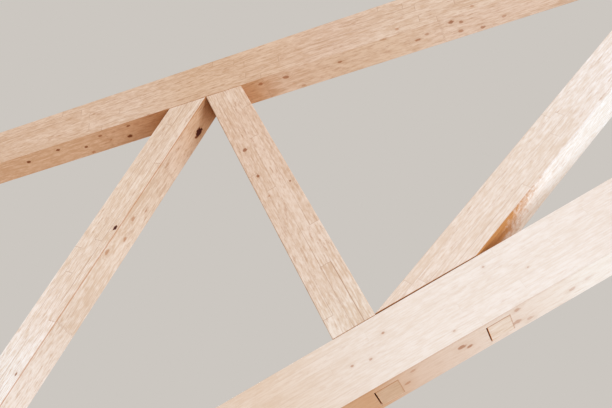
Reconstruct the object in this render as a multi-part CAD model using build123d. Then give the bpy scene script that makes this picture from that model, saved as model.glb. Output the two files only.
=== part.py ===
from build123d import *
from math import asin, cos, degrees, radians, tan
import os

# A gabled roof truss of glued laminated spruce, in the Howe pattern: upright posts, and struts that
# rise away from the ridge from the foot of each post. Millimetres. X runs along the span and Y
# through the thickness, Z is up, and the origin is under the middle of the bottom chord.

# Sections of the members, all planed to one thickness
member_thickness = 120
chord_depth = 240
web_depth = 160
arris = 3  # width taken off each long edge, at 45 degrees

# Layout
truss_length = 13500
roof_pitch = 20  # degrees
panel = 2150  # from one post's centre to the next
toe_height = 55  # what the plumb end cut leaves of the top chord's tip

# Fit of the struts' feet, which were sawn a little short of the bottom chord
foot_gap_inner = 3.5  # open joint at the tip that points at the post
foot_gap_outer = 1.5  # open joint at the other end of the foot
strut_nib = 1.5  # small plumb face that blunts the tip against the post

# Square pockets in the bottom chord's underside, one under each post and strut, closed by a plug
plug_side = 80
plug_depth = 40
pocket_depth = 60
plug_end_gap = 5  # open slot between the plug and the pocket's end nearer the ridge
plug_side_gap = 1.5  # open line along the plug's front edge
plug_recess = 0.5  # how far the plug's face lies inside the chord's underside
strut_pocket_inset = 66  # from the outer end of a strut's foot to the middle of its pocket

# Sizes that follow from the ones above
half_length = truss_length / 2
half_web = web_depth / 2
slope = tan(radians(roof_pitch))
plumb_depth = chord_depth / cos(radians(roof_pitch))
ridge_underside = chord_depth + toe_height + half_length * slope - plumb_depth
tip_height = foot_gap_inner + strut_nib

# Directions in the truss's plane
outward = Vector(1, 0, 0)
inward = Vector(-1, 0, 0)
upward = Vector(0, 0, 1)
downward = Vector(0, 0, -1)
down_the_roof = outward.rotate(Axis.Y, roof_pitch)
square_to_roof = upward.rotate(Axis.Y, roof_pitch)


def underside(x):
    """Height of the top chords' lower face at a distance from the ridge."""
    return ridge_underside - abs(x) * slope


def beam(x, z, grain, depth, length):
    """A planed beam. Its lower face starts at (x, 0, z) and runs in the direction of the grain."""
    end = Plane(origin=(x, 0, z), x_dir=(0, 1, 0), z_dir=grain)
    section = Rectangle(member_thickness, depth, align=(Align.CENTER, Align.MIN))
    eased = chamfer(section.vertices(), arris)
    return extrude(end * eased, amount=length)


def saw(piece, x, z, offcut):
    """Saws through (x, z), square to the direction in which the offcut lies, and drops the offcut."""
    return split(piece, bisect_by=Plane(origin=(x, 0, z), z_dir=offcut), keep=Keep.BOTTOM)


def bottom_chord():
    """A level beam, cut square at both ends."""
    return beam(-half_length, 0, outward, chord_depth, truss_length)


def top_chord():
    """The right top chord: plumb at the ridge, where it meets its twin, and level at the heel,
    where it sits on the bottom chord. The thin tip is nipped off flush with the bottom chord."""
    start_x = -chord_depth  # past the ridge, so that the plumb cut takes in the whole depth
    start_z = ridge_underside - start_x * slope
    piece = beam(start_x, start_z, down_the_roof, chord_depth, truss_length)
    piece = saw(piece, 0, 0, inward)
    piece = saw(piece, 0, chord_depth, downward)
    return saw(piece, half_length, 0, outward)


def king_post():
    """The middle post. Its head is sawn to a point, to bear on both top chords."""
    piece = beam(half_web, chord_depth, upward, web_depth, ridge_underside)
    piece = saw(piece, 0, ridge_underside, square_to_roof)
    return saw(piece, 0, ridge_underside, upward.rotate(Axis.Y, -roof_pitch))


def post(centre):
    """A post right of the ridge, with a level foot and a head sawn to the roof's pitch."""
    piece = beam(centre + half_web, chord_depth, upward, web_depth, ridge_underside)
    return saw(piece, centre, underside(centre), square_to_roof)


def strut_line(before):
    """Where a strut's upper edge starts, on the post before it, where its lower edge ends, in the
    corner between the top chord and the post after it, and the direction of its grain."""
    foot = Vector(before + half_web, 0, chord_depth + tip_height)
    head_x = before + panel - half_web
    head = Vector(head_x, 0, underside(head_x))
    diagonal = head - foot
    steeper = degrees(asin(web_depth / diagonal.length))
    return foot, head, diagonal.normalized().rotate(Axis.Y, -steeper)


def strut_foot_end(before):
    """Where a strut's lower edge would meet the bottom chord."""
    foot, head, grain = strut_line(before)
    upper_edge = foot.X - tip_height * grain.X / grain.Z
    return upper_edge + web_depth / grain.Z


def strut(before):
    """The strut between the post at a distance from the ridge and the next one outwards."""
    foot, head, grain = strut_line(before)
    start = head - grain * 1.5 * panel
    piece = beam(start.X, start.Z, grain, web_depth, 2.5 * panel)
    foot_cut = Vector(strut_foot_end(before) - foot.X, 0, foot_gap_outer - foot_gap_inner)
    piece = saw(piece, foot.X, chord_depth + foot_gap_inner, foot_cut.rotate(Axis.Y, 90))
    piece = saw(piece, foot.X, foot.Z, inward)
    return saw(piece, head.X, head.Z, square_to_roof)


def pocket(centre):
    """A pocket for the plug at that place. Its open slot is on the side nearer the ridge."""
    place = Pos(centre - plug_end_gap / 2, -plug_side_gap / 2, 0)
    return place * Box(plug_side + plug_end_gap, plug_side + plug_side_gap, 2 * pocket_depth)


def plug(centre):
    """A square plug, glued in against the pocket's outer end and its back."""
    place = Pos(centre, 0, plug_recess)
    return place * Box(plug_side, plug_side, plug_depth, align=(Align.CENTER, Align.CENTER, Align.MIN))


# The right half, from the ridge outwards
right_half = {"top_chord": top_chord()}
pocket_places = []
before = 0
for name in ("inner", "outer"):
    after = before + panel
    under_strut = strut_foot_end(before) - strut_pocket_inset
    right_half["post_" + name] = post(after)
    right_half["strut_" + name] = strut(before)
    right_half["plug_under_post_" + name] = plug(after)
    right_half["plug_under_strut_" + name] = plug(under_strut)
    pocket_places += [under_strut, after]
    before = after

# The left half is its mirror image, and the rest stands in the middle
pieces = {"king_post": king_post(), "plug_under_king_post": plug(0)}
chord = bottom_chord() - pocket(0)
for place in pocket_places:
    chord = chord - pocket(place) - mirror(pocket(place), about=Plane.YZ)
pieces["bottom_chord"] = chord
for name, piece in right_half.items():
    pieces[name + "_right"] = piece
    pieces[name + "_left"] = mirror(piece, about=Plane.YZ)

os.makedirs("parts", exist_ok=True)
for name, piece in pieces.items():
    export_step(piece, "parts/" + name + ".step")
    size = piece.bounding_box().size
    print(name, round(piece.volume / 1e6, 2), "dm3", round(size.X, 1), round(size.Y, 1), round(size.Z, 1))
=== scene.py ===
from math import atan2, cos, radians, sin

import bmesh
import bpy
from mathutils import Matrix, Vector


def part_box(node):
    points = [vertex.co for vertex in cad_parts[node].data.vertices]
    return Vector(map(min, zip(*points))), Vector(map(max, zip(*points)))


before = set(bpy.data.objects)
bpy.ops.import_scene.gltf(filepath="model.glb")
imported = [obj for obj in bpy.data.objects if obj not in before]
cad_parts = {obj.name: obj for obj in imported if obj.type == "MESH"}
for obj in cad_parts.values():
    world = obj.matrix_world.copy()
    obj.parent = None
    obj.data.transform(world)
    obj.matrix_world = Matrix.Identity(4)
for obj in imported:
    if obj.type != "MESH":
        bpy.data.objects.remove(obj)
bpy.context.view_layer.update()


# Camera. It is at eye height above the floor, in front of the truss and to the right of the ridge. It
# looks straight across the truss and steeply up, and is rolled, so that the bottom chord rises to the
# right.
PICTURE_WIDTH = 612
PICTURE_HEIGHT = 408
CAMERA_PLACE = Vector((2.216, -2.313, -1.436))
CAMERA_RISE = radians(45.25)
CAMERA_ROLL = radians(30.14)
FOCAL_LENGTH = 50.65
SENSOR_WIDTH = 36
VIEW_REACH = 1000
lens = bpy.data.cameras.new("camera")
lens.lens = FOCAL_LENGTH
lens.sensor_width = SENSOR_WIDTH
lens.clip_end = VIEW_REACH
camera = bpy.data.objects.new("camera", lens)
camera.matrix_world = (
    Matrix.Translation(CAMERA_PLACE)
    @ Matrix.Rotation(radians(90) + CAMERA_RISE, 4, "X")
    @ Matrix.Rotation(-CAMERA_ROLL, 4, "Z")
)
bpy.context.scene.collection.objects.link(camera)
bpy.context.scene.camera = camera
bpy.context.scene.view_settings.view_transform = "Standard"


# Floor. A plain pale painted floor lies 3 m below the truss, which is at its working height. It takes
# the truss's shadow, and seen from below it lets the view through.
FLOOR_DROP = 3.06
FLOOR_SIZE = 600
FLOOR_PAINT = "#E6DCD2"
FLOOR_AS_SEEN = "#D3CEC8"  # the paint as the camera gets it, close to the backdrop


def linear(code):
    """A colour written as sRGB hex, as the linear values that a shader takes."""
    channels = [int(code[i:i + 2], 16) / 255 for i in (1, 3, 5)]
    return [c / 12.92 if c <= 0.04045 else ((c + 0.055) / 1.055) ** 2.4 for c in channels] + [1]


def add(owner, kind, *values, sockets=None, **settings):
    """Adds a node to a material or the world with its settings and links, and returns its first
    output. Values go to its sockets in order, and sockets names others. Each is a constant or
    another node's output."""
    node = owner.node_tree.nodes.new("ShaderNode" + kind)
    for name, value in settings.items():
        setattr(node, name, value)
    pairs = list(zip([socket for socket in node.inputs if socket.enabled], values))
    pairs += [(node.inputs[name], value) for name, value in (sockets or {}).items()]
    for socket, value in pairs:
        if isinstance(value, bpy.types.NodeSocket):
            owner.node_tree.links.new(value, socket)
        else:
            socket.default_value = value
    outputs = [socket for socket in node.outputs if socket.enabled]
    return outputs[0] if outputs else node


def empty_material(name):
    """A material with no nodes yet."""
    material = bpy.data.materials.new(name)
    material.use_nodes = True
    material.node_tree.nodes.clear()
    return material


bpy.ops.object.select_all(action="DESELECT")
bpy.ops.mesh.primitive_plane_add(size=FLOOR_SIZE, location=(0, 0, -FLOOR_DROP))
floor = bpy.context.object
floor.name = "floor"
floor.visible_shadow = False  # so that the low lamp reaches the undersides
paint = empty_material("matt_floor_paint")
by_camera = add(paint, "LightPath")
tone = add(paint, "Mix", by_camera, linear(FLOOR_PAINT), linear(FLOOR_AS_SEEN), data_type="RGBA")
matt = add(paint, "BsdfPrincipled", tone, sockets={"Roughness": 0.9})
from_below = add(paint, "NewGeometry").node.outputs["Backfacing"]
clear = add(paint, "BsdfTransparent")
add(paint, "OutputMaterial", add(paint, "MixShader", from_below, matt, clear))
floor.data.materials.append(paint)


# Surround and lamps. Soft warm light comes from all round and keeps the shadows warm. The lamps are a
# little cool, so that the sum is neutral: a key from the front and above, a weaker one from behind,
# and a low one from the right that fills the undersides.
SURROUND = "#FFDFBE"
SURROUND_STRENGTH = 0.45
BACKDROP = "#CCC7C1"
LAMP = "#D9EBFA"
LAMPS = {  # name: the way to the lamp, its strength and how wide it looks, in degrees
    "key": ((0.35, -0.62, 0.70), 1.74, 14),
    "rear": ((-0.30, 0.70, 0.65), 1.12, 24),
    "low": ((0.60, -0.35, -0.72), 1.55, 18),
}
world = bpy.data.worlds.new("soft_surround")
bpy.context.scene.world = world
world.use_nodes = True
world.node_tree.nodes.clear()
rays = add(world, "LightPath").node.outputs
seen = add(world, "Math", rays["Is Camera Ray"], rays["Is Glossy Ray"], operation="MAXIMUM")
seen = add(world, "Math", seen, rays["Is Transmission Ray"], operation="MAXIMUM")
light = add(world, "Background", linear(SURROUND), SURROUND_STRENGTH)
backdrop = add(world, "Background", linear(BACKDROP), 1.0)
add(world, "OutputWorld", add(world, "MixShader", seen, light, backdrop))
for name, (way, strength, width) in LAMPS.items():
    lamp = bpy.data.lights.new(name, "SUN")
    lamp.energy = strength
    lamp.angle = radians(width)
    lamp.color = linear(LAMP)[:3]
    holder = bpy.data.objects.new(name, lamp)
    holder.rotation_euler = Vector(way).to_track_quat("Z", "Y").to_euler()
    bpy.context.scene.collection.objects.link(holder)


# Bottom chord. Glued laminated spruce: boards 40 mm thick are finger-jointed end to end, glued in a
# stack, planed and left bare. The eye gets pale short-stroked grain that changes a little from board
# to board, thin lines where boards are glued, and brown knots.
MM = 0.001
LAMELLA = 40 * MM
SKIN = 2 * MM  # keeps the outermost glue lines off the faces
UPRIGHT = 0.002  # a direction with less run than this is upright
BOARD_LENGTH = 800 * MM
FINGER_LENGTH = 10 * MM
FINGER_PITCH = 8 * MM  # real fingers are 4 mm apart; drawn coarser, to show
STROKE_LENGTH = 38 * MM
STROKE_WIDTH = 9 * MM  # real fibre bundles are 1 mm wide; drawn coarser, to show
SMUDGE_LENGTH = 60 * MM
SMUDGE_WIDTH = 11 * MM
PATCH_LENGTH = 454.545 * MM  # slow changes of tone; the last digits keep each where it is
PATCH_WIDTH = 111.111 * MM
RING = 8 * MM  # real rings are 3 mm apart; drawn coarser, to show
RING_WAVE_LENGTH = 500 * MM
RING_WAVE_WIDTH = 111.111 * MM
RING_WAVE_HEIGHT = 30 * MM
RING_SWELLING = 12 * MM  # how far the rings bulge round a knot
HEART_ASIDE = 60 * MM  # the tree's heart is up to this far to either side of a board's middle
HEART_BELOW = 90 * MM  # and up to this far below the board
LINE = 2 * MM  # glue lines are 0.2 mm wide; drawn coarser, to show
CUT_SHADOW_LINE = 2.2 * MM  # the painted shadow line along a sawn end, and the part of it that is full
CUT_SHADOW_CORE = 1.0 * MM
RELIEF = 0.4 * MM
KNOT_WAVE = 12.5 * MM  # the waves in a knot's outline, and their height in halves of its width
KNOT_RAGGEDNESS = 1.5
FRONT_REACH = Vector((1.4, 9, 1))  # a knot's reach along u, v and w, in widths; inwards it is long
LOWER_REACH = Vector((1.7, 1, 5))
KNOT_SPACING = 200 * MM  # each cell of this length and width may hold a random knot
KNOT_SPACING_ACROSS = 111.111 * MM
KNOT_ON_FLAT = 0.10  # half of the largest random knot's width on a lamella's flat, in cells
KNOT_ON_EDGE = 0.05  # and on its edge
LEAST_KNOT = 0.004  # and of the smallest
RANDOM_DARKNESS = 0.75
FAR = 99.0  # further than any knot reaches, in halves of its width
BOARD_SHIFT = 30.0  # metres between two boards in the patterns, so that each gets its own
BOARD_STAGGER = 9.0  # boards by which the joints of one lamella may lie off those of another
LAYERS = 17.0  # numbers kept for one member's lamellas, more than it has
MEMBER_SHIFT = 3.1  # cells between the random knots of two members
SMUDGE_SHIFT = (5.0, 5.0, 5.0)  # keeps the smudges off the strokes
PALE = (1.10, 1.16, 1.23)  # a board's palest wood, as a share of the member's colour
DEEP = (0.885, 0.81, 0.73)  # and its deepest
STROKE_DEPTH = 2.9  # how far strokes, boards and patches go from the palest to the deepest
BOARD_DEPTH = 0.45
PATCH_DEPTH = 0.5
DEPTH_START = -1.52
SMUDGE_MOST = 0.75  # the share of its own colour in a smudge, a glue line, a joint and a sawn end
SMUDGE_LEAST = 0.15
GLUE_MOST = 0.65
GLUE_LEAST = 0.1
BUTT_SHARE = 0.4
CUT_SHADOW_SHARE = 0.2
END_SHARE = 0.75
YELLOWED = 0.15  # how far the wood round a knot turns yellow
SHEEN = 0.25  # a planed face's specular level
LATEWOOD = "#C89F78"
KNOT_RIM = "#B06832"
KNOT_HEART = "#4A1303"
GLUE = "#A87650"
# the colour of the painted shadow lines at sawn ends and along the plugs' fronts, and of darker arrises and
# joint lines
JOINT_SHADE = "#B8733C"
# end grain's colour, made lighter as painted light so that the gaps and pockets where sawn ends lie don't
# render too dark
END_GRAIN_WITH_GAP_LIGHT = "#DDAE80"
# painted shadow: blotchy brown, where the bottom chord shades strut_outer_right's lower face near its foot
PAINTED_FOOT_SHADOW = "#D39C60"
PAINTED_FOOT_SHADOW_BLOT = 22.7273 * MM
BLOT_STRENGTH = 3.0
PAINTED_FOOT_SHADOW_START = 2.75  # the painted shadow's strength where it starts and ends, and what it loses to the back
PAINTED_FOOT_SHADOW_END = 0.4
PAINTED_FOOT_SHADOW_INWARDS = 1.2
PAINTED_FOOT_SHADOW_EDGE = (2.4, 3.45)  # the strengths, blots included, at which it starts to show and is full
BOTTOM_COLOUR = "#F3E3D8"
BOTTOM_FRONT_LIT_TONES = [  # pixel of the photograph, and the colour there: the wood's own, with painted light and shade
    ((60, 530), "#F3E3D8"), ((272, 411), "#ECD7C4"), ((373, 351), "#F6EAE0"), ((411, 330), "#F9EEE5"),
    ((549, 250), "#FCF3EC"), ((800, 100), "#F3E3D8"),
]
# painted shade: the underside is darker towards the ridge, where less light falls, and paler where it falls
BOTTOM_LOWER_LIT_TONES = [
    ((375, 400), "#D2A782"), ((419, 376), "#E2C8B4"), ((552, 298), "#F6EBE1"), ((587, 278), "#FDF8F2"),
]
BOTTOM_SHOWN = ((218, 406), (611, 190))
KNOTS_BOTTOM_FRONT = [  # pixel of the photograph, width in mm, darkness
    (383, 333, 8, 0.45), (352, 366, 8, 0.45), (371, 359, 7, 0.4), (454, 331, 6, 0.3), (483, 267, 6, 0.3),
    (528, 267, 6, 0.3),
]
KNOTS_BOTTOM_LOWER = [
    (517, 310, 14, 0.35), (517, 322, 18, 0.36), (530, 318, 15, 0.25), (462, 347, 18, 0.5),
    (470, 346, 13, 0.5), (408, 383, 12, 0.4), (413, 371, 10, 0.3), (572, 289, 14, 0.25),
    (588, 278, 13, 0.12),
]


def member_axes(node):
    """A member's own axes, from its solid: where its lower face starts, the angle of its grain, its
    depth, and the planes in which its ends were sawn."""
    mesh = bmesh.new()
    mesh.from_mesh(node.data)
    bmesh.ops.remove_doubles(mesh, verts=mesh.verts, dist=0.01 * MM)
    mesh.normal_update()
    arrises = [e for e in mesh.edges if len(e.link_faces) == 2 and e.calc_face_angle() > radians(20)]
    longest = max(arrises, key=lambda e: e.calc_length())
    along = (longest.verts[1].co - longest.verts[0].co).normalized()
    if along.x < -UPRIGHT or (abs(along.x) < UPRIGHT and along.z < 0):
        along = -along
    across = Vector((-along.z, 0, along.x))
    heights = [v.co.dot(across) for v in mesh.verts]
    start = along * min(v.co.dot(along) for v in mesh.verts) + across * min(heights)
    cuts = {}
    for face in mesh.faces:
        if abs(face.normal.dot(along)) > 0.25:
            cuts[tuple(round(n, 2) for n in face.normal)] = (face.normal.copy(), face.verts[0].co.copy())
    mesh.free()
    return start, atan2(along.z, along.x), max(heights) - min(heights), list(cuts.values())


def seen_at(pixel, point, facing):
    """Where the line of sight through a pixel of the photograph meets a plane."""
    focal = lens.lens / lens.sensor_width * PICTURE_WIDTH
    sight = Vector((pixel[0] - PICTURE_WIDTH / 2, PICTURE_HEIGHT / 2 - pixel[1], -focal))
    sight = camera.matrix_world.to_3x3() @ sight
    return CAMERA_PLACE + sight * ((point - CAMERA_PLACE).dot(facing) / sight.dot(facing))


def along_grain(pixels, face, start, along):
    """How far along a member's grain pixels of the photograph lie, where they show one of its faces."""
    return [(seen_at(pixel, *face) - start).dot(along) for pixel in pixels]


def photographed_knots(wood, place, ragged, start, along, across, faces):
    """The knots that show in the photograph, each a branch that points at its face: how near the
    nearest is, in halves of its width, and how dark they make the wood. Faces gives the knots, the
    plane and the reach of a knot for each face."""
    near = FAR
    knots = 0.0
    for pixels, face, reach in faces:
        for x, y, width, darkness in pixels:
            spot = seen_at((x, y), *face) - start
            centre = Vector((spot.dot(along), spot.y, spot.dot(across)))
            scale = Vector([2 / (width * MM * r) for r in reach])
            offset = Vector([-c * s for c, s in zip(centre, scale)])
            away = add(wood, "VectorMath", place, scale, offset, operation="MULTIPLY_ADD")
            away = add(wood, "VectorMath", away, operation="LENGTH")
            away = add(wood, "Math", ragged, KNOT_RAGGEDNESS, away, operation="MULTIPLY_ADD")
            knot = add(wood, "MapRange", away, 1.25, 0.7, 0.0, darkness, interpolation_type="SMOOTHSTEP")
            near = add(wood, "Math", away, near, operation="MINIMUM")
            knots = add(wood, "Math", knot, knots, operation="MAXIMUM")
    return near, knots


def random_knots(wood, u, v, w, facing_v, side, ragged, seed):
    """How near the nearest of a member's random knots is, in halves of its width. They are smaller on
    the edges of the lamellas than on their flats."""
    face_v = add(wood, "Mix", side, v, w)
    turn = add(wood, "Math", facing_v, operation="SIGN")
    spread = add(wood, "CombineXYZ", u, face_v, 0.0)
    turn = add(wood, "CombineXYZ", MEMBER_SHIFT * seed, 0.0, turn)
    spacing = (1 / KNOT_SPACING, 1 / KNOT_SPACING_ACROSS, 0.0)
    spread = add(wood, "VectorMath", spread, spacing, turn, operation="MULTIPLY_ADD")
    cells = add(wood, "TexVoronoi", spread, sockets={"Scale": 1.0})
    pick = add(wood, "SeparateColor", cells.node.outputs["Color"])
    largest = add(wood, "MapRange", side, 0.0, 1.0, KNOT_ON_FLAT, KNOT_ON_EDGE)
    size = add(wood, "MapRange", pick, 0.4, 1.0, LEAST_KNOT, largest)
    away = add(wood, "Math", cells, size, operation="DIVIDE")
    return add(wood, "Math", ragged, KNOT_RAGGEDNESS, away, operation="MULTIPLY_ADD")


def growth_rings(wood, place, board_place, u, lamella, picks, halo):
    """How much latewood shows, in rings round a heart that lies below each board. The rings waver, and
    bulge round knots."""
    waves = (1 / RING_WAVE_LENGTH, 1 / RING_WAVE_WIDTH, 1 / RING_WAVE_WIDTH)
    waver = add(wood, "VectorMath", board_place, waves, operation="MULTIPLY")
    waver = add(wood, "TexNoise", waver, sockets={"Scale": 1.0, "Detail": 2.0}).node.outputs["Color"]
    height = (0.0, RING_WAVE_HEIGHT, RING_WAVE_HEIGHT)
    waver = add(wood, "VectorMath", waver, height, place, operation="MULTIPLY_ADD")
    spread = (0.0, 2 * HEART_ASIDE, -HEART_BELOW)
    heart = add(wood, "VectorMath", picks, spread, (0.0, -HEART_ASIDE, 0.0), operation="MULTIPLY_ADD")
    below = add(wood, "Math", lamella, LAMELLA, operation="MULTIPLY")
    below = add(wood, "CombineXYZ", u, 0.0, below)
    heart = add(wood, "VectorMath", heart, below, operation="ADD")
    spoke = add(wood, "VectorMath", waver, heart, operation="SUBTRACT")
    spoke = add(wood, "VectorMath", spoke, operation="LENGTH")
    spoke = add(wood, "Math", halo, RING_SWELLING, spoke, operation="MULTIPLY_ADD")
    ring = add(wood, "Math", spoke, 1 / RING, operation="MULTIPLY")
    ring = add(wood, "Math", ring, operation="FRACT")
    late = add(wood, "MapRange", ring, 0.3, 0.9, interpolation_type="SMOOTHSTEP")
    early = add(wood, "MapRange", ring, 1.0, 0.92)
    return add(wood, "Math", late, early, operation="MULTIPLY")


def glulam(name, colour, seed, lit_tones=(), shown=None, front_knots=(), lower_knots=(), painted_foot_shadow=None,
           figure=1.0, arris_shade=0.12):
    """Bare spruce glulam for one member, laid out along that member's own grain. Tones give the colours
    that its front and then its lower face show in the photograph, with the light and shade that fall there
    painted in: paler where light falls, and darker in corners next to other members. They replace the
    plain colour, and its back and top get the front's. Between the two pixels of shown its knots are the
    photograph's, given by pixel, and elsewhere they fall at random. Figure is how strong the grain shows,
    arris_shade how dark the arrises are, and two given pixels mark where a blotchy brown painted shadow,
    cast by the bottom chord, fades away on its lower face."""
    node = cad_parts[name]
    start, angle, depth, cuts = member_axes(node)
    along = Vector((cos(angle), 0, sin(angle)))
    across = Vector((-sin(angle), 0, cos(angle)))
    front_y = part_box(name)[0].y
    front = (Vector((0, front_y, 0)), Vector((0, 1, 0)))
    lower = (start, across)
    wood = empty_material("planed_spruce_glulam_" + name)

    # Place on the member: u along the grain, v through the thickness, w up from the lower face
    point = add(wood, "TexCoord").node.outputs["Object"]
    place = add(wood, "Mapping", point, start, (0, -angle, 0), vector_type="TEXTURE")
    u, v, w = add(wood, "SeparateXYZ", place).node.outputs
    normal = point.node.outputs["Normal"]
    facing = add(wood, "Mapping", normal, (0, 0, 0), (0, -angle, 0), vector_type="TEXTURE")
    facing_u, facing_v, facing_w = add(wood, "SeparateXYZ", facing).node.outputs
    end = add(wood, "Math", facing_u, operation="ABSOLUTE")
    end = add(wood, "MapRange", end, 0.3, 0.6, 0.0, END_SHARE)
    side = add(wood, "Math", facing_v, operation="ABSOLUTE")
    side = add(wood, "MapRange", side, 0.6, 0.8)
    arris = add(wood, "Math", facing_v, facing_w, operation="MULTIPLY")
    arris = add(wood, "Math", arris, operation="ABSOLUTE")
    arris = add(wood, "Math", arris, 2 * arris_shade, operation="MULTIPLY")
    beneath = add(wood, "Math", facing_w, -0.5, operation="LESS_THAN")

    # Lamellas, and the boards that make up each
    inner_w = add(wood, "Clamp", w, SKIN, depth - SKIN)
    stack = add(wood, "Math", inner_w, LAMELLA, operation="DIVIDE")
    lamella = add(wood, "Math", stack, operation="FLOOR")
    layer = add(wood, "Math", lamella, LAYERS * seed, operation="ADD")
    stagger = add(wood, "TexWhiteNoise", layer, noise_dimensions="1D")
    stagger = add(wood, "Math", stagger, BOARD_STAGGER, operation="MULTIPLY")
    finger = add(wood, "Math", v, FINGER_PITCH / 2, operation="PINGPONG")
    finger = add(wood, "Math", finger, 2 * FINGER_LENGTH / FINGER_PITCH, u, operation="MULTIPLY_ADD")
    count = add(wood, "Math", finger, 1 / BOARD_LENGTH, stagger, operation="MULTIPLY_ADD")
    board = add(wood, "Math", count, operation="FLOOR")
    key = add(wood, "CombineXYZ", board, layer, 0.0)
    chance, picks = add(wood, "TexWhiteNoise", key, noise_dimensions="3D").node.outputs
    shift = add(wood, "VectorMath", picks, BOARD_SHIFT, operation="SCALE")
    board_place = add(wood, "VectorMath", place, shift, operation="ADD")

    # Knots, the photograph's own where it shows the member and others at random elsewhere
    ragged = add(wood, "TexNoise", place, sockets={"Scale": 1 / KNOT_WAVE, "Detail": 2.0})
    ragged = add(wood, "Math", ragged, 0.5, operation="SUBTRACT")
    faces = ((front_knots, front, FRONT_REACH), (lower_knots, lower, LOWER_REACH))
    near, knots = photographed_knots(wood, place, ragged, start, along, across, faces)
    away = random_knots(wood, u, v, w, facing_v, side, ragged, seed)
    if shown:
        reach = along_grain(shown, front, start, along)
        here = add(wood, "Math", u, sum(reach) / 2, abs(reach[1] - reach[0]) / 2, operation="COMPARE")
        towards = add(wood, "Math", facing_v, facing_w, operation="MINIMUM")
        towards = add(wood, "Math", towards, -0.5, operation="LESS_THAN")
        here = add(wood, "Math", here, towards, operation="MULTIPLY")
        away = add(wood, "Math", here, FAR, away, operation="MULTIPLY_ADD")
    knot = add(wood, "MapRange", away, 1.3, 0.6, 0.0, RANDOM_DARKNESS, interpolation_type="SMOOTHSTEP")
    near = add(wood, "Math", away, near, operation="MINIMUM")
    knots = add(wood, "Math", knot, knots, operation="MAXIMUM")
    halo = add(wood, "MapRange", near, 3.2, 1.0, interpolation_type="SMOOTHSTEP")

    # Growth rings, slow changes of tone, strokes of fibre, and brown smudges that come in patches
    late = growth_rings(wood, place, board_place, u, lamella, picks, halo)
    patches = (1 / PATCH_LENGTH, 1 / PATCH_WIDTH, 1 / PATCH_WIDTH)
    slow = add(wood, "VectorMath", board_place, patches, operation="MULTIPLY")
    slow = add(wood, "TexNoise", slow, sockets={"Scale": 1.0, "Detail": 1.0})
    strokes = (1 / STROKE_LENGTH, 1 / STROKE_WIDTH, 1 / STROKE_WIDTH)
    strokes = add(wood, "VectorMath", board_place, strokes, operation="MULTIPLY")
    strokes = add(wood, "TexNoise", strokes, sockets={"Scale": 1.0, "Detail": 3.0, "Roughness": 0.6})
    smudges = (1 / SMUDGE_LENGTH, 1 / SMUDGE_WIDTH, 1 / SMUDGE_WIDTH)
    smudges = add(wood, "VectorMath", board_place, smudges, SMUDGE_SHIFT, operation="MULTIPLY_ADD")
    smudges = add(wood, "TexNoise", smudges, sockets={"Scale": 1.0, "Detail": 4.0, "Roughness": 0.7})
    smudges = add(wood, "MapRange", smudges, 0.54, 0.72)
    patchy = add(wood, "MapRange", slow, 0.4, 0.58, SMUDGE_MOST * figure, SMUDGE_LEAST * figure)
    smudges = add(wood, "Math", smudges, patchy, operation="MULTIPLY")
    faded = add(wood, "MapRange", slow, 0.4, 0.6, 0.1, 0.45)
    late = add(wood, "Math", late, faded, operation="MULTIPLY")
    deepness = add(wood, "Math", strokes, STROKE_DEPTH, DEPTH_START, operation="MULTIPLY_ADD")
    deepness = add(wood, "Math", chance, BOARD_DEPTH, deepness, operation="MULTIPLY_ADD")
    deepness = add(wood, "Math", slow, PATCH_DEPTH, deepness, operation="MULTIPLY_ADD")
    deepness = add(wood, "Math", deepness, late, operation="ADD")

    # Hairlines where boards are glued, and painted shadow lines where the sawn ends bear on another member
    glue = add(wood, "Math", stack, 0.5, operation="PINGPONG")
    glue = add(wood, "MapRange", glue, LINE / LAMELLA, 0.3 * LINE / LAMELLA)
    broken = add(wood, "MapRange", slow, 0.44, 0.6, GLUE_LEAST * figure, GLUE_MOST * figure ** 2)
    glue = add(wood, "Math", glue, broken, operation="MULTIPLY")
    butt = add(wood, "Math", count, 0.5, operation="PINGPONG")
    strength = BUTT_SHARE * figure ** 2
    butt = add(wood, "MapRange", butt, LINE / BOARD_LENGTH, 0.4 * LINE / BOARD_LENGTH, 0.0, strength)
    glue = add(wood, "Math", glue, butt, operation="MAXIMUM")
    shade = arris
    # painted shadow along each sawn end, where it bears on another member
    for cut_normal, cut_point in cuts:
        cut_shadow = add(wood, "VectorMath", point, cut_normal, operation="DOT_PRODUCT")
        cut_shadow = add(wood, "Math", cut_shadow, cut_point.dot(cut_normal), operation="SUBTRACT")
        cut_shadow = add(wood, "Math", cut_shadow, operation="ABSOLUTE")
        cut_shadow = add(wood, "MapRange", cut_shadow, CUT_SHADOW_LINE, CUT_SHADOW_CORE, 0.0, CUT_SHADOW_SHARE)
        shade = add(wood, "Math", cut_shadow, shade, operation="MAXIMUM")

    # Colour, from the plain wood to what lies on it
    tone = linear(colour)
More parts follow.
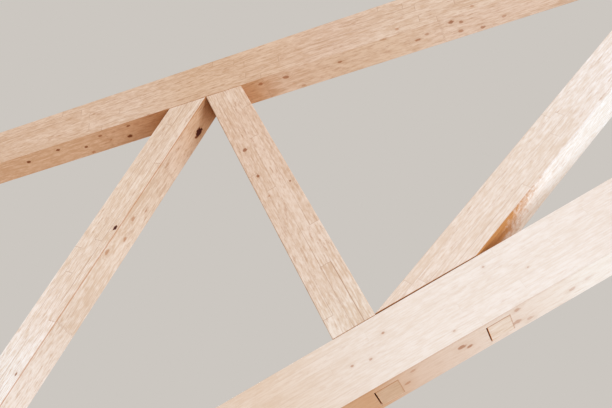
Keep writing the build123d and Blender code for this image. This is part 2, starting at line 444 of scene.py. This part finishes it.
    # the tones are painted light and shade: paler where light falls, darker in corners next to other
    # members
    for stops, face, where in zip(lit_tones, (front, lower), (1.0, beneath)):
        pixels, codes = zip(*stops)
        places = along_grain(pixels, face, start, along)
        run = linear(codes[0])
        for first, last, code in zip(places, places[1:], codes[1:]):
            share = add(wood, "MapRange", u, first, last)
            run = add(wood, "Mix", share, run, linear(code), data_type="RGBA")
        tone = add(wood, "Mix", where, tone, run, data_type="RGBA")
    pale = [1 + (share - 1) * figure for share in PALE] + [1]
    deep = [1 + (share - 1) * figure for share in DEEP] + [1]
    grain = add(wood, "Mix", deepness, pale, deep, data_type="RGBA")
    tone = add(wood, "Mix", 1.0, tone, grain, data_type="RGBA", blend_type="MULTIPLY")
    tone = add(wood, "Mix", smudges, tone, linear(LATEWOOD), data_type="RGBA", blend_type="MULTIPLY")
    yellowed = add(wood, "Math", halo, YELLOWED, operation="MULTIPLY")
    tone = add(wood, "Mix", yellowed, tone, linear(LATEWOOD), data_type="RGBA")
    tone = add(wood, "Mix", glue, tone, linear(GLUE), data_type="RGBA")
    rim = add(wood, "MapRange", knots, 0.0, 0.8)
    tone = add(wood, "Mix", rim, tone, linear(KNOT_RIM), data_type="RGBA")
    core = add(wood, "MapRange", knots, 0.45, 0.95)
    tone = add(wood, "Mix", core, tone, linear(KNOT_HEART), data_type="RGBA")
    # end grain, lightened as painted light in the gaps and pockets
    tone = add(wood, "Mix", end, tone, linear(END_GRAIN_WITH_GAP_LIGHT), data_type="RGBA")
    # painted shadow of the bottom chord on the lower face, in brown blots that fade away from the foot
    if painted_foot_shadow:
        first, last = along_grain(painted_foot_shadow, lower, start, along)
        fading = add(wood, "MapRange", u, first, last, PAINTED_FOOT_SHADOW_START, PAINTED_FOOT_SHADOW_END)
        inwards = add(wood, "MapRange", v, front_y, -front_y, 0.0, PAINTED_FOOT_SHADOW_INWARDS)
        fading = add(wood, "Math", fading, inwards, operation="SUBTRACT")
        rough = {"Scale": 1 / PAINTED_FOOT_SHADOW_BLOT, "Detail": 4.0, "Roughness": 0.75}
        painted_shadow_blots = add(wood, "TexNoise", place, sockets=rough)
        painted_shadow_blots = add(wood, "Math", painted_shadow_blots, BLOT_STRENGTH, fading, operation="MULTIPLY_ADD")
        painted_shadow_blots = add(wood, "MapRange", painted_shadow_blots, *PAINTED_FOOT_SHADOW_EDGE)
        painted_shadow_blots = add(wood, "Math", painted_shadow_blots, beneath, operation="MULTIPLY")
        tone = add(wood, "Mix", painted_shadow_blots, tone, linear(PAINTED_FOOT_SHADOW), data_type="RGBA", blend_type="MULTIPLY")
    tone = add(wood, "Mix", shade, tone, linear(JOINT_SHADE), data_type="RGBA")

    relief = add(wood, "Math", strokes, 0.5, late, operation="MULTIPLY_ADD")
    hollow = add(wood, "Math", glue, knots, operation="MAXIMUM")
    relief = add(wood, "Math", relief, hollow, operation="SUBTRACT")
    bump = add(wood, "Bump", sockets={"Strength": 0.4, "Distance": RELIEF, "Height": relief})
    roughness = add(wood, "MapRange", strokes, 0.3, 0.7, 0.58, 0.7)
    finish = {"Roughness": roughness, "Normal": bump, "Specular IOR Level": SHEEN}
    add(wood, "OutputMaterial", add(wood, "BsdfPrincipled", tone, sockets=finish))
    for slot in node.material_slots:
        slot.material = wood


glulam("bottom_chord", BOTTOM_COLOUR, 1, (BOTTOM_FRONT_LIT_TONES, BOTTOM_LOWER_LIT_TONES), BOTTOM_SHOWN,
       KNOTS_BOTTOM_FRONT, KNOTS_BOTTOM_LOWER, figure=0.37)


# Plugs. Square blocks of planed spruce are glued into the pockets in the bottom chord's underside,
# over the fixings. Each is open at one end, where a thin slot shows, and elsewhere fits tight, with a
# brown line of glue at its other end and a painted shadow line along its front.
PLUG_COLOUR = "#EFDFD0"
# painted shade: this plug is darker, as the chord's underside around it is darker towards the ridge
SHADED_PLUG = "plug_under_post_inner_right"
SHADED_PLUG_COLOUR = "#D4B497"
SLOT_PAINTED_LIGHT = "#FFB878"  # painted light on the slot's walls: brighter than the wood, because so thin a slot renders too dark
SLOT_EDGE = 1 * MM
PLUG_LINE = 4 * MM
TIGHT_SHARE = 0.6  # how much of the joint's shade the line has at the tight end, and the painted shadow line at the front
FRONT_SHADOW_SHARE = 0.8
FIBRE_LENGTH = 62.5 * MM
FIBRE_WIDTH = 10 * MM  # real fibre bundles are 1 mm wide; drawn coarser, to show
for name in [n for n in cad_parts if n.startswith("plug_")]:
    low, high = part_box(name)
    block = empty_material("planed_spruce_" + name)
    point = add(block, "TexCoord").node.outputs["Object"]
    place = add(block, "VectorMath", point, (low + high) / 2, operation="SUBTRACT")
    fibres = (1 / FIBRE_LENGTH, 1 / FIBRE_WIDTH, 1 / FIBRE_WIDTH)
    fibres = add(block, "VectorMath", point, fibres, operation="MULTIPLY")
    fibres = add(block, "TexNoise", fibres, sockets={"Scale": 1.0, "Detail": 3.0, "Roughness": 0.6})
    deepness = add(block, "MapRange", fibres, 0.3, 0.7)
    grain = add(block, "Mix", deepness, (*PALE, 1), (*DEEP, 1), data_type="RGBA")
    plain = linear(SHADED_PLUG_COLOUR if name == SHADED_PLUG else PLUG_COLOUR)
    tone = add(block, "Mix", 1.0, plain, grain, data_type="RGBA", blend_type="MULTIPLY")
    x, y = add(block, "SeparateXYZ", place).node.outputs[:2]
    half = (high.x - low.x) / 2
    side_of_slot = -1.0 if low.x + high.x > 0 else 1.0
    to_slot = add(block, "Math", x, side_of_slot, operation="MULTIPLY")
    line = add(block, "MapRange", to_slot, PLUG_LINE - half, -half, 0.0, TIGHT_SHARE)
    # painted shadow line along the plug's front
    front_shadow_line = add(block, "MapRange", y, PLUG_LINE - half, 0.3 * PLUG_LINE - half, 0.0, FRONT_SHADOW_SHARE)
    line = add(block, "Math", line, front_shadow_line, operation="MAXIMUM")
    tone = add(block, "Mix", line, tone, linear(JOINT_SHADE), data_type="RGBA")
    # painted light on the wall of the slot
    lit_slot_side = add(block, "MapRange", to_slot, half - SLOT_EDGE, half - 0.2 * SLOT_EDGE)
    tone = add(block, "Mix", lit_slot_side, tone, linear(SLOT_PAINTED_LIGHT), data_type="RGBA")
    finish = {"Roughness": 0.66, "Specular IOR Level": SHEEN}
    add(block, "OutputMaterial", add(block, "BsdfPrincipled", tone, sockets=finish))
    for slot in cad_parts[name].material_slots:
        slot.material = block


# Top chords. The same glulam in a slightly deeper colour, partly the wood's and partly painted shade,
# as less light reaches the top of the truss. They are mitred plumb at the ridge and sawn level at the
# heels, where they sit on the bottom chord.
TOP_COLOUR = "#DFC1A9"
TOP_FRONT_LIT_TONES = [
    ((84, 119), "#E2C5AD"), ((131, 104), "#E2C6AF"), ((190, 84), "#DAB89A"), ((279, 55), "#DDBCA0"),
    ((332, 37), "#DFC0A8"), ((387, 19), "#E2C6AE"),
]
# painted shade: darker in the corners next to strut_inner_right and post_inner_right, darkest at the
# strut's head
TOP_LOWER_LIT_TONES = [
    ((87, 145), "#DCB696"), ((135, 130), "#CA9A75"), ((162, 121), "#B57C50"), ((256, 90), "#CB9B73"),
    ((285, 82), "#E2C3AA"), ((338, 65), "#E0C1A6"), ((394, 47), "#E4C7AD"), ((451, 29), "#EBD2BE"),
]
TOP_SHOWN = ((1, 150), (540, 5))
KNOTS_TOP_FRONT = [(397, 29, 14, 0.4), (472, 6, 12, 0.4)]
KNOTS_TOP_LOWER = [
    (29, 162, 14, 0.75), (58, 150, 13, 0.7), (86, 147, 12, 0.7), (94, 152, 13, 0.5), (100, 136, 12, 0.6),
    (111, 140, 8, 0.5), (128, 126, 11, 0.7), (130, 136, 17, 0.8), (261, 84, 15, 0.55), (286, 77, 17, 0.55),
    (304, 85, 12, 0.35), (340, 62, 11, 0.55), (418, 40, 13, 0.5), (427, 34, 11, 0.4), (451, 22, 14, 0.55),
    (461, 22, 12, 0.5), (461, 31, 14, 0.45), (483, 27, 14, 0.5), (504, 16, 12, 0.4),
]
glulam("top_chord_right", TOP_COLOUR, 2, (TOP_FRONT_LIT_TONES, TOP_LOWER_LIT_TONES), TOP_SHOWN, KNOTS_TOP_FRONT,
       KNOTS_TOP_LOWER)
glulam("top_chord_left", TOP_COLOUR, 3)


# Posts. Glulam of four lamellas with level feet, and heads sawn to the pitch of the top chords. The
# king post's head is pointed, to bear on both.
POST_COLOUR = "#E3C8B4"
# painted light: paler towards the foot
POST_LIT_TONES = [
    ((227, 99), "#E7CDB7"), ((238, 117), "#E4C7B0"), ((276, 187), "#E6CCB7"), ((330, 284), "#EBD6C4"),
    ((342, 306), "#EFDECE"),
]
POST_SHOWN = ((225, 95), (350, 320))
KNOTS_POST = [(245, 150, 18, 0.6), (258, 176, 12, 0.58), (290, 181, 9, 0.6), (269, 196, 9, 0.4)]
glulam("king_post", POST_COLOUR, 4)
glulam("post_inner_right", POST_COLOUR, 5, (POST_LIT_TONES,), POST_SHOWN, KNOTS_POST)
glulam("post_inner_left", POST_COLOUR, 6)
glulam("post_outer_right", POST_COLOUR, 7)
glulam("post_outer_left", POST_COLOUR, 8)


# Struts. Glulam of four lamellas, sawn level at the foot, a little short of the bottom chord, and to
# the pitch at the head. The outer ones are the palest, partly in their wood and partly as painted light,
# since they stand low, where most light falls.
STRUT_INNER_COLOUR = "#EFDCCC"
# painted light: paler towards the foot
STRUT_INNER_FRONT_LIT_TONES = [
    ((176, 118), "#E8D0BB"), ((153, 154), "#EBD5C2"), ((134, 181), "#F0DCCA"), ((97, 237), "#F0DDCC"),
    ((41, 319), "#F8EADF"), ((9, 365), "#FCF5EF"),
]
# painted shade: dark in the corner under the head, next to post_inner_right, and paler towards the foot
STRUT_INNER_LOWER_LIT_TONES = [
    ((212, 108), "#A87044"), ((202, 122), "#D8AF8C"), ((176, 160), "#DEC1A9"), ((155, 192), "#E5CFBB"),
    ((118, 248), "#ECD9C8"), ((64, 331), "#E7D5C5"), ((32, 378), "#ECDDD0"),
]
STRUT_INNER_SHOWN = ((185, 115), (0, 395))
KNOTS_STRUT_FRONT = [(115, 228, 17, 1.0), (40, 372, 9, 0.6), (16, 374, 9, 0.6), (25, 396, 9, 0.6)]
KNOTS_STRUT_LOWER = [
    (199, 132, 29, 1.0), (197, 136, 18, 0.8), (146, 211, 10, 0.4), (133, 219, 14, 0.4), (125, 239, 13, 0.4),
    (107, 252, 16, 0.4),
]
STRUT_OUTER_COLOUR = "#F4E7DD"
# painted light: near white where light falls, most on the lower face
STRUT_OUTER_FRONT_LIT_TONES = [((459, 245), "#F5E5D8"), ((536, 151), "#F5E7DB"), ((600, 73), "#FDF5F0")]
STRUT_OUTER_LOWER_LIT_TONES = [((520, 210), "#F6EBE2"), ((551, 179), "#FBF8F5"), ((600, 117), "#FDFDFC")]
STRUT_OUTER_SHOWN = ((611, 50), (400, 300))
# pixels where the bottom chord's painted shadow starts and fades out
STRUT_PAINTED_FOOT_SHADOW = ((490, 246), (560, 165))
glulam("strut_inner_right", STRUT_INNER_COLOUR, 9, (STRUT_INNER_FRONT_LIT_TONES, STRUT_INNER_LOWER_LIT_TONES),
       STRUT_INNER_SHOWN, KNOTS_STRUT_FRONT, KNOTS_STRUT_LOWER, arris_shade=0.6)
glulam("strut_inner_left", STRUT_INNER_COLOUR, 10)
glulam("strut_outer_right", STRUT_OUTER_COLOUR, 11, (STRUT_OUTER_FRONT_LIT_TONES, STRUT_OUTER_LOWER_LIT_TONES),
       STRUT_OUTER_SHOWN, painted_foot_shadow=STRUT_PAINTED_FOOT_SHADOW, figure=0.68)
glulam("strut_outer_left", STRUT_OUTER_COLOUR, 12, figure=0.68)
